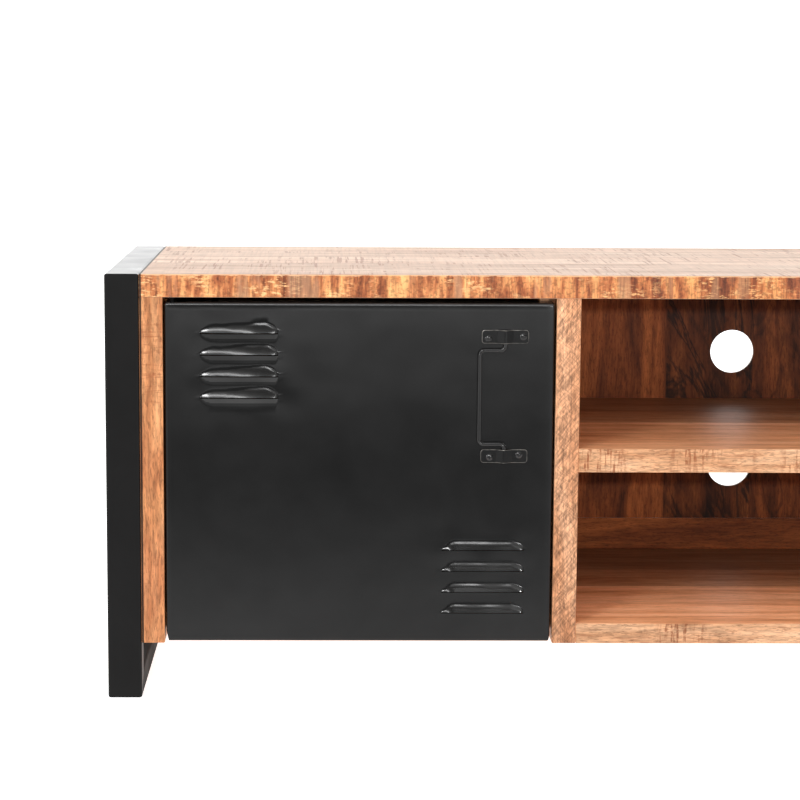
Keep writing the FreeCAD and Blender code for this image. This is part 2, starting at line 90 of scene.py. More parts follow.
class Shader:
    """A node material, written as calls that return sockets."""

    def __init__(self, name):
        self.material = bpy.data.materials.new(name)
        self.material.use_nodes = True
        self.tree = self.material.node_tree
        self.surface = self.tree.nodes["Principled BSDF"]
        self.place = self.node("ShaderNodeTexCoord").outputs["Object"]

    def node(self, kind, **settings):
        made = self.tree.nodes.new(kind)
        for key, value in settings.items():
            setattr(made, key, value)
        return made

    def plug(self, socket, value):
        """Sets a socket to a constant or links another socket to it."""
        if isinstance(value, bpy.types.NodeSocket):
            self.tree.links.new(value, socket)
        elif value is not None:
            socket.default_value = value

    def maths(self, operation, first, second=None, third=None, clamp=False):
        made = self.node("ShaderNodeMath", operation=operation, use_clamp=clamp)
        for socket, value in zip(made.inputs, (first, second, third)):
            self.plug(socket, value)
        return made.outputs[0]

    def scaled(self, scale, place=None, shift=(0, 0, 0)):
        made = self.node("ShaderNodeMapping")
        self.plug(made.inputs["Vector"], place or self.place)
        made.inputs["Location"].default_value = shift
        made.inputs["Scale"].default_value = scale
        return made.outputs[0]

    def noise(self, place, scale=1.0, detail=3.0, rough=0.5, warp=0.0):
        made = self.node("ShaderNodeTexNoise")
        self.plug(made.inputs["Vector"], place)
        made.inputs["Scale"].default_value = scale
        made.inputs["Detail"].default_value = detail
        made.inputs["Roughness"].default_value = rough
        made.inputs["Distortion"].default_value = warp
        return made.outputs["Fac"]

    def ramp(self, value, stops, easing="LINEAR"):
        """A colour ramp; stops are (position, colour or grey)."""
        made = self.node("ShaderNodeValToRGB")
        made.color_ramp.interpolation = easing
        elements = made.color_ramp.elements
        while len(elements) < len(stops):
            elements.new(0.5)
        for element, (position, colour) in zip(elements, stops):
            element.position = position
            grey = not isinstance(colour, tuple)
            element.color = (colour, colour, colour, 1) if grey else (*colour, 1)
        self.plug(made.inputs["Fac"], value)
        return made.outputs["Color"]

    def mix(self, factor, first, second, blend="MIX"):
        made = self.node("ShaderNodeMix", data_type="RGBA", blend_type=blend)
        self.plug(made.inputs["Factor"], factor)
        for key, value in (("A", first), ("B", second)):
            socket = [s for s in made.inputs if s.name == key and s.type == "RGBA"][0]
            self.plug(socket, (*value, 1) if isinstance(value, tuple) else value)
        return [s for s in made.outputs if s.type == "RGBA"][0]

    def split(self, vector):
        made = self.node("ShaderNodeSeparateXYZ")
        self.plug(made.inputs[0], vector)
        return made.outputs

    def joined(self, x, y, z):
        made = self.node("ShaderNodeCombineXYZ")
        for socket, value in zip(made.inputs, (x, y, z)):
            self.plug(socket, value)
        return made.outputs[0]

    def bump(self, height, strength, distance, under=None):
        made = self.node("ShaderNodeBump")
        made.inputs["Strength"].default_value = strength
        made.inputs["Distance"].default_value = distance
        self.plug(made.inputs["Height"], height)
        self.plug(made.inputs["Normal"], under)
        return made.outputs[0]

    def finish(self, colour, roughness, normal=None, **extra):
        self.plug(self.surface.inputs["Base Color"], colour)
        self.plug(self.surface.inputs["Roughness"], roughness)
        self.plug(self.surface.inputs["Normal"], normal)
        for key, value in extra.items():
            self.surface.inputs[key.replace("_", " ")].default_value = value
        return self.material


def srgb(red, green, blue):
    """A colour given in 0 to 255 display values, as linear light."""
    out = []
    for value in (red, green, blue):
        value /= 255
        out.append(value / 12.92 if value <= 0.04045 else ((value + 0.055) / 1.055) ** 2.4)
    return tuple(out)


# -------------------------------------------------------------------- wood

# glued-up staves: far edge of the one before, tone, and amount of black figure
BACK_STAVES = ((-0.250, 1.2, 0.1), (-0.087, 0.72, 1.0), (0.028, 1.0, 0.6), (0.1, 1.35, 0.2))
TOP_STAVES = ((-0.140, 0.93, 0.3), (-0.060, 1.03, 0.1), (0.047, 0.98, 0.5), (0.140, 1.04, 0.2))
# the shelf's and the bottom board's staves darken from front to back: painted shade under the top, over the
# staves' own tones
SHELF_STAVES_PAINTED_SHADE = (
    (FRONT, 1.12, 0.25), (FRONT + 0.105, 1.0, 0.3), (FRONT + 0.21, 0.62, 0.5), (FRONT + 0.315, 0.46, 0.3)
)
BOTTOM_STAVES_PAINTED_SHADE = (
    (FRONT, 1.3, 0.1), (FRONT + 0.1, 1.1, 0.3), (FRONT + 0.2, 0.62, 0.3), (FRONT + 0.3, 0.42, 0.3)
)

# light, middle and dark colour of each kind of board
PALE = (srgb(236, 180, 138), srgb(220, 158, 114), srgb(178, 116, 76))
AMBER = (srgb(228, 158, 106), srgb(208, 134, 84), srgb(160, 92, 54))
DEEP = (srgb(172, 98, 50), srgb(128, 68, 33), srgb(74, 37, 18))
CHAR = srgb(26, 14, 9)
SAW_MARK = srgb(146, 74, 42)
BURNISHED = srgb(252, 198, 138)
# near white for a board's cut edges: painted light, as if they were brightly lit
PAINTED_LIT_EDGE = srgb(250, 244, 236)


def stave_table(s, across, staves):
    """Tone, figure, own seed and seam line for boards glued up from staves."""
    low, high = -1.0, 1.0
    where = s.maths("DIVIDE", s.maths("SUBTRACT", across, low), high - low)
    tables = []
    for pick in (lambda n: staves[n][1] / 2, lambda n: staves[n][2], lambda n: (n * 0.37) % 1):
        stops = [(0.0, pick(0))]
        stops += [((staves[n][0] - low) / (high - low), pick(n)) for n in range(1, len(staves))]
        tables.append(s.split(s.ramp(where, stops, "CONSTANT"))[0])
    seam = 0.0
    for edge, *rest in staves[1:]:
        near = s.maths("LESS_THAN", s.maths("ABSOLUTE", s.maths("SUBTRACT", across, edge)), 0.35 * MM)
        seam = s.maths("ADD", near, seam)
    return s.maths("MULTIPLY", tables[0], 2.0), tables[1], tables[2], seam


def along_grain(s, grain):
    """The surface point as (along, across, across) for a grain axis."""
    x, y, z = s.split(s.place)
    order = {"X": (x, y, z), "Y": (y, x, z), "Z": (z, x, y)}[grain]
    return s.joined(*order)


def moved_by(s, place, seed):
    """A place shifted a long way off by a seed, so that two staves share no figure."""
    shift = s.node("ShaderNodeVectorMath", operation="ADD")
    s.plug(shift.inputs[0], place)
    jump = s.joined(s.maths("MULTIPLY", seed, 31.0), s.maths("MULTIPLY", seed, 17.0), 0.0)
    s.plug(shift.inputs[1], jump)
    return shift.outputs[0]


def turned(s, place, angles):
    made = s.node("ShaderNodeMapping")
    s.plug(made.inputs["Vector"], place)
    made.inputs["Rotation"].default_value = angles
    return made.outputs[0]


def facing(s, axis):
    """1 on faces that look along an axis, 0 on the others."""
    normal = s.split(s.node("ShaderNodeTexCoord").outputs["Normal"])[axis]
    return s.split(s.ramp(s.maths("ABSOLUTE", normal), [(0.5, 0.0), (0.8, 1.0)]))[0]


def painted_joint_shade(s, colour):
    """The last millimetre or two of wood before an end frame is painted dark: painted shade standing in for
    the shadowed groove at the joint.
    """
    ragged = s.maths("MULTIPLY", s.noise(s.place, scale=70, detail=1), 0.6 * MM)
    from_middle = s.maths("ADD", s.maths("ABSOLUTE", s.split(s.place)[0]), ragged)
    short_of_end = s.maths("SUBTRACT", SIDE_X, from_middle)
    painted_groove_shade = s.ramp(s.maths("DIVIDE", short_of_end, 10 * MM), [(0.2, 0.06), (0.28, 1.0)])
    return s.mix(s.maths("SUBTRACT", 1.0, facing(s, 0)), colour, painted_groove_shade, "MULTIPLY")


def board(
    name, grain, seed, tones, staves, stave_axis=1, edge="pores", edge_tint_and_shade=(1.0, 1.0, 1.0),
    painted_falloff=None, figure_gain=1.0, gloss=0.4, level=0.25, painted_lit_edges=False
):
    """A planed and lacquered board; its narrow edges carry a coarser figure of their own."""
    s = Shader(name)
    light, mid, dark = tones
    place = along_grain(s, grain)
    across = s.split(place)[stave_axis]
    tone, figure, own_seed, seam = stave_table(s, across, staves)
    place = moved_by(s, place, s.maths("ADD", own_seed, seed))
    front = facing(s, 1)

    # growth rings, cut lengthwise: long wandering bands
    drift = s.noise(s.scaled((1.3, 7, 7), place), detail=3, rough=0.55, warp=0.4)
    rings = s.maths("ADD", s.maths("MULTIPLY", drift, 2.2), s.maths("MULTIPLY", s.split(place)[1], 9.0))
    rings = s.maths("ADD", rings, s.maths("MULTIPLY", s.split(place)[2], 7.0))
    rings = s.maths("PINGPONG", s.maths("MULTIPLY", rings, 7.0), 1.0)
    cloud = s.noise(s.scaled((2.6, 22, 22), place), detail=5, rough=0.62, warp=0.6)
    body = s.maths("ADD", s.maths("MULTIPLY", rings, 0.12), s.maths("MULTIPLY", cloud, 0.88))
    colour = s.ramp(body, [(0.3, dark), (0.47, mid), (0.64, light)])

    fibre = s.noise(s.scaled((42, 360, 360), place), detail=4, rough=0.65)
    amount = s.maths("MULTIPLY_ADD", front, 0.5, 0.4)
    colour = s.mix(amount, colour, s.ramp(fibre, [(0.36, 0.62), (0.6, 1.12)]), "MULTIPLY")
    pores = s.noise(s.scaled((130, 620, 620), place, (2, 3, 1)), detail=2, rough=0.6)
    pores = s.ramp(pores, [(0.36, 0.0), (0.46, 1.0)])
    amount = s.maths("MULTIPLY_ADD", front, 0.4, 0.2)
    colour = s.mix(amount, colour, s.ramp(pores, [(0.0, 0.42), (1.0, 1.05)]), "MULTIPLY")
    colour = s.mix(1.0, colour, tone, "MULTIPLY")
    # painted shade, darker towards one end of the board
    if painted_falloff:
        colour = painted_shade_along_board(s, colour, grain, painted_falloff)

    colour = with_streaks(s, colour, place, figure, figure_gain)
    colour = EDGE_FIGURES[edge](s, colour, front, grain)
    # edge tint: the narrow edges' own colour, and painted shade on the bottom board's front edge
    colour = s.mix(front, colour, s.mix(1.0, colour, edge_tint_and_shade, "MULTIPLY"))
    colour = s.mix(s.maths("MULTIPLY", seam, 0.55), colour, CHAR)
    # the back panel's edge faces, the cable hole's wall among them, are painted near white: painted light
    if painted_lit_edges:
        colour = s.mix(front, PAINTED_LIT_EDGE, colour)
    # painted shade in the groove where the wood meets an end frame
    colour = painted_joint_shade(s, colour)

    height = s.maths("ADD", s.maths("MULTIPLY", fibre, 0.6), s.maths("MULTIPLY", pores, 0.4))
    normal = s.bump(height, 0.3, 0.3 * MM)
    rough = s.ramp(fibre, [(0.25, gloss + 0.12), (0.75, gloss)])
    s.surface.inputs["Specular IOR Level"].default_value = level
    return s.finish(colour, rough, normal)


def painted_shade_along_board(s, colour, grain, levels):
    """Painted shade: a tone that drifts from one end of a board to the other, darker at the dimmer end;
    levels are (place, tone).
    """
    along = s.split(s.place)["XYZ".index(grain)]
    (start, low), (end, high) = levels
    drift = s.node("ShaderNodeMapRange")
    s.plug(drift.inputs["Value"], along)
    for key, value in (("From Min", start), ("From Max", end), ("To Min", low), ("To Max", high)):
        drift.inputs[key].default_value = value
    return s.mix(1.0, colour, drift.outputs["Result"], "MULTIPLY")


def with_streaks(s, colour, place, figure, gain):
    """Black mineral lines that wander along the grain, with smoky shade beside them."""
    flame = turned(s, place, (0, 0, 0.22))
    wander = s.noise(s.scaled((4.5, 17, 17), flame, (9, 4, 6)), detail=5, rough=0.62, warp=1.1)
    line = s.maths("ABSOLUTE", s.maths("SUBTRACT", wander, 0.5))
    line = s.ramp(line, [(0.0, 1.0), (0.014, 0.75), (0.04, 0.0)])
    smoke = s.noise(s.scaled((4.2, 14, 14), flame, (1, 8, 3)), detail=4, warp=0.8)
    smoke = s.ramp(smoke, [(0.47, 0.0), (0.62, 0.85)])
    hatch = s.noise(s.scaled((30, 130, 130), turned(s, place, (0, 0, 0.5))), detail=3)
    hatch = s.ramp(hatch, [(0.42, 0.0), (0.56, 1.0)])
    smoke = s.maths("MULTIPLY", smoke, s.maths("MULTIPLY_ADD", hatch, 0.75, 0.25))
    amount = s.maths("MAXIMUM", s.maths("MULTIPLY", line, 0.85), smoke)
    amount = s.maths("MULTIPLY", s.maths("MULTIPLY", amount, figure), gain, clamp=True)
    return s.mix(amount, colour, CHAR)


def saw_marks(s, colour, front, grain, width, threshold, strength):
    """Marks across the grain, in patches, that the saw left on the narrow edges."""
    fine, coarse = (1 / width, 26), (10, 5)
    scale = {"X": (fine[0], 26, fine[1]), "Z": (fine[1], 26, fine[0])}[grain]
    patch_scale = {"X": (coarse[0], 4, coarse[1]), "Z": (coarse[1], 4, coarse[0])}[grain]
    marks = s.noise(s.scaled(scale, shift=(4, 2, 6)), detail=3, rough=0.55)
    marks = s.ramp(marks, [(threshold, 0.0), (threshold + 0.07, 1.0)])
    patch = s.ramp(s.noise(s.scaled(patch_scale, shift=(8, 3, 1)), detail=3), [(0.47, 0.0), (0.56, 1.0)])
    rub = s.ramp(s.noise(s.scaled((190, 190, 190)), detail=2), [(0.38, 0.15), (0.55, 1.0)])
    cut = s.maths("MULTIPLY", s.maths("MULTIPLY", marks, patch), s.maths("MULTIPLY", rub, front))
    return s.mix(s.maths("MULTIPLY", cut, strength), colour, SAW_MARK)


def pore_edge(s, colour, front, grain):
    return colour


def ticked_edge(s, colour, front, grain):
    """Reddish ticks across a pale edge, and one thin dark line wandering along it."""
    colour = saw_marks(s, colour, front, grain, 3.2 * MM, 0.5, 0.75)
    stretch = {"X": (5, 60, 40), "Z": (40, 60, 5)}[grain]
    wander = s.noise(s.scaled(stretch, shift=(2, 7, 5)), detail=4, rough=0.6, warp=0.5)
    line = s.ramp(s.maths("ABSOLUTE", s.maths("SUBTRACT", wander, 0.47)), [(0.0, 1.0), (0.012, 0.0)])
    return s.mix(s.maths("MULTIPLY", s.maths("MULTIPLY", line, front), 0.45), colour, SAW_MARK)


def sawn_edge(s, colour, front, grain):
    """Straight saw lines across an orange edge, in a few places, and blotches of redder wood."""
    blotch = s.noise(s.scaled((26, 26, 11), shift=(3, 3, 7)), detail=4, rough=0.6)
    blotch = s.ramp(blotch, [(0.45, 0.0), (0.62, 0.8)])
    redder = s.mix(1.0, colour, (0.74, 0.62, 0.6), "MULTIPLY")
    colour = s.mix(s.maths("MULTIPLY", blotch, front), colour, redder)
    return saw_marks(s, colour, front, grain, 2.6 * MM, 0.53, 0.55)


# diagonal marks: angle, scale along them, scale across them, and how dark they are
HATCHES = ((0.95, 60, 430, 0.66), (-0.8, 80, 480, 0.76), (0.7, 12, 150, 0.84))


def hatched_edge(s, colour, front, grain):
    """Short diagonal marks both ways over curved rings, as where a plane has torn the wood."""
    swirl = s.noise(s.scaled((13, 13, 13), shift=(2, 2, 2)), detail=3)
    lean = s.joined(s.maths("MULTIPLY", swirl, 0.02), 0.0, s.maths("MULTIPLY", swirl, 0.03))
    bent = s.node("ShaderNodeVectorMath", operation="ADD")
    s.plug(bent.inputs[0], s.place)
    s.plug(bent.inputs[1], lean)
    bent = bent.outputs[0]
    shade = 1.0
    for angle, long_scale, wide_scale, depth in HATCHES:
        lean_place = turned(s, bent, (0, angle, 0))
        marks = s.noise(s.scaled((long_scale, 30, wide_scale), lean_place), detail=2, rough=0.6)
        marks = s.ramp(marks, [(0.4, depth), (0.54, 1.04)])
        shade = s.mix(1.0, marks, shade if shade != 1.0 else (1.0, 1.0, 1.0), "MULTIPLY")
    return s.mix(front, colour, s.mix(1.0, colour, shade, "MULTIPLY"))


EDGE_FIGURES = {"pores": pore_edge, "ticked": ticked_edge, "sawn": sawn_edge, "hatched": hatched_edge}


def top_face(s):
    """The rough-sawn upper side of the top: pale, with saw dashes straight across it."""
    tone, figure, own_seed, seam = stave_table(s, s.split(s.place)[1], TOP_STAVES)
    place = moved_by(s, s.place, own_seed)
    grain = s.noise(s.scaled((2.2, 34, 1), place), detail=5, rough=0.62, warp=0.5)
    fibre = s.noise(s.scaled((26, 300, 1), place), detail=3, rough=0.65)
    face = s.ramp(
        grain, [(0.34, srgb(193, 153, 127)), (0.5, srgb(217, 181, 155)), (0.66, srgb(231, 202, 178))]
    )
    face = s.mix(0.7, face, s.ramp(fibre, [(0.34, 0.74), (0.62, 1.08)]), "MULTIPLY")
    face = s.mix(1.0, face, tone, "MULTIPLY")
    kerfs = s.noise(s.scaled((300, 9, 1), place, (3, 0, 1)), detail=2, rough=0.5)
    kerfs = s.ramp(kerfs, [(0.55, 0.0), (0.63, 1.0)])
    patch = s.noise(s.scaled((9, 15, 1), place, (1, 5, 0)), detail=4, rough=0.65)
    patch = s.ramp(patch, [(0.46, 0.0), (0.56, 1.0)])
    kerfs = s.maths("MULTIPLY", kerfs, patch)
    faint = s.noise(s.scaled((330, 5, 1), place, (7, 2, 1)), detail=2, rough=0.5)
    face = s.mix(0.5, face, s.ramp(faint, [(0.38, 0.86), (0.58, 1.04)]), "MULTIPLY")
    face = s.mix(s.maths("MULTIPLY", kerfs, 0.6), face, srgb(146, 88, 58))
    face = s.mix(s.maths("MULTIPLY", seam, 0.35), face, srgb(120, 76, 54))
    return face, fibre, kerfs


def top_edge(s):
    """The banded edge of the top: dark, orange and straw bands, torn and burnished by the saw, and a
    painted highlight along its upper arris.
    """
    wide = s.noise(s.scaled((30, 30, 6)), detail=5, rough=0.62, warp=0.3)
    narrow = s.noise(s.scaled((110, 110, 26), shift=(2, 0, 4)), detail=4, rough=0.62, warp=0.3)
    line = s.noise(s.scaled((480, 480, 30), shift=(1, 6, 4)), detail=2, rough=0.6)
    band = s.maths("ADD", s.maths("MULTIPLY", wide, 0.5), s.maths("MULTIPLY", narrow, 0.5))
    edge = s.ramp(
        band,
        [
            (0.4, srgb(116, 58, 29)), (0.465, srgb(163, 91, 51)),
            (0.53, srgb(207, 133, 81)), (0.62, srgb(244, 182, 117)),
        ],
    )
    torn = s.noise(s.scaled((110, 110, 380), shift=(5, 2, 8)), detail=3, rough=0.6, warp=0.2)
    torn = s.ramp(torn, [(0.52, 0.0), (0.6, 1.0)])
    patch = s.ramp(s.noise(s.scaled((24, 24, 20), shift=(7, 7, 1)), detail=4), [(0.47, 0.0), (0.58, 1.0)])
    edge = s.mix(s.maths("MULTIPLY", s.maths("MULTIPLY", torn, patch), 0.8), edge, BURNISHED)
    pits = s.noise(s.scaled((240, 240, 300), shift=(3, 1, 2)), detail=2)
    edge = s.mix(0.8, edge, s.ramp(pits, [(0.36, 0.55), (0.5, 1.0)]), "MULTIPLY")
    grey = s.noise(s.scaled((36, 36, 5), shift=(3, 9, 2)), detail=3)
    grey = s.ramp(grey, [(0.54, 0.0), (0.6, 0.7)])
    edge = s.mix(grey, edge, srgb(176, 130, 98))
    edge = s.mix(0.7, edge, s.ramp(line, [(0.32, 0.55), (0.5, 0.95), (0.66, 1.15)]), "MULTIPLY")
    along = s.maths("ADD", s.split(s.place)[0], SIDE_X)
    edge = s.mix(1.0, edge, s.ramp(along, [(0.4, (1.0, 1.0, 1.0)), (0.64, (0.93, 0.84, 0.74))]), "MULTIPLY")
    # a pale, ragged band along the top arris: painted highlight
    height = s.split(s.place)[2]
    ragged = s.maths("MULTIPLY", s.noise(s.place, scale=160, detail=2), 3.2 * MM)
    painted_arris_highlight = s.maths("GREATER_THAN", s.maths("ADD", height, ragged), TOP_Z)
    return s.mix(s.maths("MULTIPLY", painted_arris_highlight, 0.6), edge, srgb(244, 196, 152)), line


def sawn_top(name):
    s = Shader(name)
    face, fibre, kerfs = top_face(s)
    edge, line = top_edge(s)
    # painted shade where the top meets the end frames
    colour = painted_joint_shade(s, s.mix(facing(s, 2), edge, face))
    height = s.maths("ADD", s.maths("MULTIPLY", line, 0.5), s.maths("MULTIPLY", fibre, 0.5))
    height = s.maths("SUBTRACT", height, s.maths("MULTIPLY", kerfs, 0.8))
    normal = s.bump(height, 0.5, 0.5 * MM)
    rough = s.ramp(fibre, [(0.2, 0.6), (0.8, 0.45)])
    s.surface.inputs["Specular IOR Level"].default_value = 0.35
    return s.finish(colour, rough, normal)


# -------------------------------------------------------------------- steel


def black_paint(name, colour, roughness, grain_size, depth, level):
    """Black paint on steel, with its orange peel and slightly uneven gloss."""
    s = Shader(name)
    peel = s.noise(s.place, scale=grain_size, detail=2, rough=0.5)
    cloud = s.noise(s.place, scale=14, detail=3, rough=0.6)
    rough = s.ramp(cloud, [(0.3, roughness * 0.85), (0.7, roughness * 1.15)])
    tone = s.mix(cloud, tuple(c * 0.8 for c in colour), tuple(c * 1.2 for c in colour))
    normal = s.bump(peel, 0.25, depth)
    haze = s.noise(s.scaled((1, 1, 1), shift=(3, 1, 2)), scale=11, detail=4, rough=0.6, warp=0.8)
    haze = s.ramp(haze, [(0.36, level * 0.94), (0.66, level * 1.08)])
    s.plug(s.surface.inputs["Specular IOR Level"], haze)
    return s.finish(tone, rough, normal)


def zinc(name, colour, roughness):
    """Zinc-plated steel with a fine spangle."""
    s = Shader(name)
    spangle = s.noise(s.place, scale=260, detail=3)
    tone = s.mix(spangle, tuple(c * 0.7 for c in colour), colour)
    rough = s.ramp(spangle, [(0.3, roughness * 0.8), (0.7, roughness * 1.2)])
    s.surface.inputs["Metallic"].default_value = 1.0
    return s.finish(tone, rough, s.bump(spangle, 0.2, 0.1 * MM))


def worn_edge(name):
    """Black paint rubbed through to the steel in places."""
    s = Shader(name)
    rubbed = s.ramp(s.noise(s.place, scale=190, detail=3, rough=0.6), [(0.36, 0.2), (0.56, 1.0)])
    s.plug(s.surface.inputs["Metallic"], rubbed)
    tone = s.mix(rubbed, srgb(16, 15, 15), srgb(138, 134, 128))
    return s.finish(tone, 0.42, s.bump(rubbed, 0.2, 0.1 * MM))


FRAME_PAINT = black_paint("frame_paint", srgb(12, 12, 13), 0.3, 900, 0.1 * MM, 0.3)
LEG_PAINT = black_paint("leg_paint", srgb(11, 10, 10), 0.5, 900, 0.1 * MM, 0.18)
FOOT_PAINT = black_paint("foot_paint", srgb(26, 24, 23), 0.7, 900, 0.1 * MM, 0.06)
DOOR_PAINT = black_paint("door_paint", srgb(11, 11, 11), 0.19, 500, 0.03 * MM, 0.36)
PRESSED_PAINT = black_paint("pressed_paint", srgb(13, 12, 11), 0.18, 500, 0.03 * MM, 0.85)
RUBBED_PAINT = black_paint("rubbed_paint", srgb(24, 24, 25), 0.2, 700, 0.1 * MM, 1.0)
CLIP_PAINT = black_paint("clip_paint", srgb(12, 12, 12), 0.3, 500, 0.1 * MM, 0.25)
PIVOT_PAINT = black_paint("pivot_paint", srgb(8, 8, 8), 0.6, 900, 0.1 * MM, 0.05)
HANDLE_PAINT = black_paint("handle_paint", srgb(12, 11, 11), 0.16, 700, 0.04 * MM, 0.6)
ZINC = zinc("zinc", srgb(178, 172, 158), 0.38)
WORN_STEEL = worn_edge("worn_steel")


def plain_staves(start, width, count, seed):
    """Staves of equal width, a little different in tone."""
    made = []
    for number in range(count):
        tone = 1.0 + 0.14 * math.sin(seed * 2.3 + number * 2.9)
        made.append((start + width * number, tone, 0.25 + 0.2 * math.sin(seed + number)))
    return tuple(made)


def board_woods():
    """One material per board, so that no two boards share a figure."""
    made = {"top_board": sawn_top("sawn_top")}
    for number, side in enumerate(SIDES):
        deep = plain_staves(FRONT, 0.09, 5, number)
        made[side + "_side_panel"] = board(
            side + "_side_wood", "Z", 0.13 + number, AMBER, deep, 2, edge="sawn",
            edge_tint_and_shade=(0.95, 1.04, 1.12)
        )
        made[side + "_divider"] = board(
            side + "_divider_wood", "Z", 0.41 + number, PALE, deep, 2, edge="hatched", figure_gain=0.3,
            # the divider is painted darker towards its bottom: painted shade where less light reaches
            edge_tint_and_shade=(1.04, 1.0, 1.0), painted_falloff=((0.07, 0.76), (0.47, 1.05))
        )
        made[side + "_bay_bottom"] = board(side + "_bay_bottom_wood", "X", 0.71 + number, PALE, deep)
        wide = plain_staves(-0.7 if side == "left" else 0.25, 0.105, 5, number + 3)
        made[side + "_bay_back"] = board(side + "_bay_back_wood", "Z", 0.83 + number, DEEP, wide)
        made[side + "_corner_block"] = made[side + "_bay_bottom"]
    made["middle_shelf"] = board(
        "shelf_wood", "X", 0.29, PALE, SHELF_STAVES_PAINTED_SHADE, edge="ticked", edge_tint_and_shade=(0.84, 0.94, 1.02),
        figure_gain=0.5, level=0.12
    )
    made["middle_bottom_board"] = board(
        # the front edge is painted darker than the top: painted shade
        "middle_bottom_wood", "X", 0.57, PALE, BOTTOM_STAVES_PAINTED_SHADE, edge="ticked", edge_tint_and_shade=(0.64, 0.72, 0.79),
        figure_gain=0.5, level=0.14
    )
    rail = ((0.0, 1.0, 0.2),)
    made["middle_back_rail"] = board("rail_wood", "X", 0.91, DEEP, rail, 2, figure_gain=0.5, level=0.12)
    made["middle_back_panel"] = board(
        "back_wood", "Z", 0.05, DEEP, BACK_STAVES, level=0.12, painted_lit_edges=True
    )
    return made


def material_for(node, woods):
    if node in woods:
        return woods[node]
    if node.endswith("_front_leg"):
        return LEG_PAINT
    if node.endswith("_top_rail"):
        return FRAME_PAINT
    if node.endswith(("_rear_leg", "_bottom_rail")):
        return FOOT_PAINT
    if "handle" in node:
        return HANDLE_PAINT
    if "pivot" in node and "screws" not in node:
        return PIVOT_PAINT
    if "screws" in node or "magnet" in node:
        return ZINC
    return DOOR_PAINT


def dress_cad_nodes():
    """Gives every CAD node its own finish."""
    woods = board_woods()
    for name, obj in NODES.items():
        obj.data.materials.clear()
        obj.data.materials.append(material_for(name, woods))


# ---------------------------------------------------------------- door sheet


def spread(stops, step):
    """Places between the stops, no further apart than step."""
    places = []
    for start, end in zip(stops, stops[1:]):
        count = max(1, math.ceil((end - start) / step - 1e-6))
        places += [start + (end - start) * k / count for k in range(count)]
    return places + [stops[-1]]


def louvre_lips(lowest):
    return [lowest + LOUVRE_PITCH * number for number in range(LOUVRE_COUNT)]


def grid_lines(width, height):
    """Grid places across and up the door, close together only around the louvres."""
    across = {FOLD_R, width - FOLD_R}
    up = {FOLD_R, height - FOLD_R}
    for middle, lowest, wide, ends, *rest in LOUVRE_SETS:
        start, end = middle - wide / 2, middle + wide / 2
        across.update(spread([start, start + 6 * MM], 0.6 * MM))
        across.update(spread([start + 6 * MM, end - ends[1]], 2.2 * MM))
        across.update(spread([end - ends[1], end], 0.6 * MM))
        for lip in louvre_lips(lowest):
            up.update(spread([lip, lip + LOUVRE_HEIGHT], 0.9 * MM))
            up.update(spread([lip - LOUVRE_BELOW, lip - LOUVRE_SLIT], 1.5 * MM))
    lines = []
    for stops in (sorted(across), sorted(up)):
        kept = [stops[0]]
        for place in stops[1:]:
            if place - kept[-1] > 0.05 * MM:
                kept.append(place)
        lines.append(spread(kept, 8.0 * MM))
    return lines


def end_shape(u, middle, wide, ends):
    """1 along a louvre, falling to 0 in a round at its two ends."""
    inside = wide / 2 - abs(u - middle)
    if inside <= 0:
        return 0.0
    taper = ends[0] if u < middle else ends[1]
    return math.sqrt(1 - (1 - min(1.0, inside / taper)) ** 2)


def eased(value):
    """A smooth step from 0 to 1."""
    value = min(1.0, max(0.0, value))
    return value * value * (3 - 2 * value)


def flared_hood(above, along, number):
    """A hood steepest at its lip; towards its right end a second, softer fold rises above it."""
    uneven = noise.noise(Vector((along * 2.3, number * 3.1, 2.0)))
    ripple = noise.noise(Vector((along * 5.7, number * 5.3, 8.0)))
    rise = 0.85 * eased((along + 0.3 + 0.4 * uneven) / 1.2)
    flare = (1 - above) ** (2.1 + 0.4 * uneven + 0.3 * ripple)
    fold = eased((0.98 - above) / (0.4 + 0.1 * ripple))
    return (1 - rise) * flare + rise * (0.55 * fold + 0.45 * (1 - above) ** 2.4)


def bulged_hood(above, along, number):
    """A hood steepest a little above its middle, and at its lip at the left end."""
    uneven = noise.noise(Vector((along * 2.1, number * 3.1, 9.0)))
    fold = eased((0.88 + 0.05 * uneven - above) / (0.5 + 0.08 * along + 0.15 * uneven))
    left = eased((-0.68 - along) / 0.25)
    return (1 - left) * (0.5 * fold + 0.5 * (1 - above) ** 1.3) + left * (1 - above) ** 3.4


def louvred(u, w):
    """How far out the louvres press the sheet, and how much they strain it around them."""
    out = 0.0
    strain = 0.0
    for middle, lowest, wide, tapers, lip_out, pushed in LOUVRE_SETS:
        centre_w = lowest + LOUVRE_PITCH * (LOUVRE_COUNT - 1) / 2
        away = max(abs(u - middle) / (wide / 2), abs(w - centre_w) / (LOUVRE_PITCH * LOUVRE_COUNT / 2))
        strain = max(strain, 1 - eased((away - 0.9) / 0.9))
        ends = end_shape(u, middle, wide, tapers)
        if ends == 0:
            continue
        along = (u - middle) / (wide / 2)
        hood = flared_hood if pushed else bulged_hood
        tall = LOUVRE_HEIGHT * (1 + (0.12 * along if pushed else 0))
        inside = wide / 2 - abs(u - middle)
        tall *= 0.2 + 0.8 * min(1.0, inside / LOUVRE_ROUND) ** 0.6
        for number, lip in enumerate(louvre_lips(lowest)):
            above = (w - lip) / tall
            if -1e-6 <= above < 1:
                out = max(out, lip_out * ends * hood(max(0.0, above), along, number))
            below = (lip - w) / LOUVRE_BELOW
            if pushed and 0 < below < ends:
                out = max(out, pushed * ends * (1 - below / ends))
    return out, strain


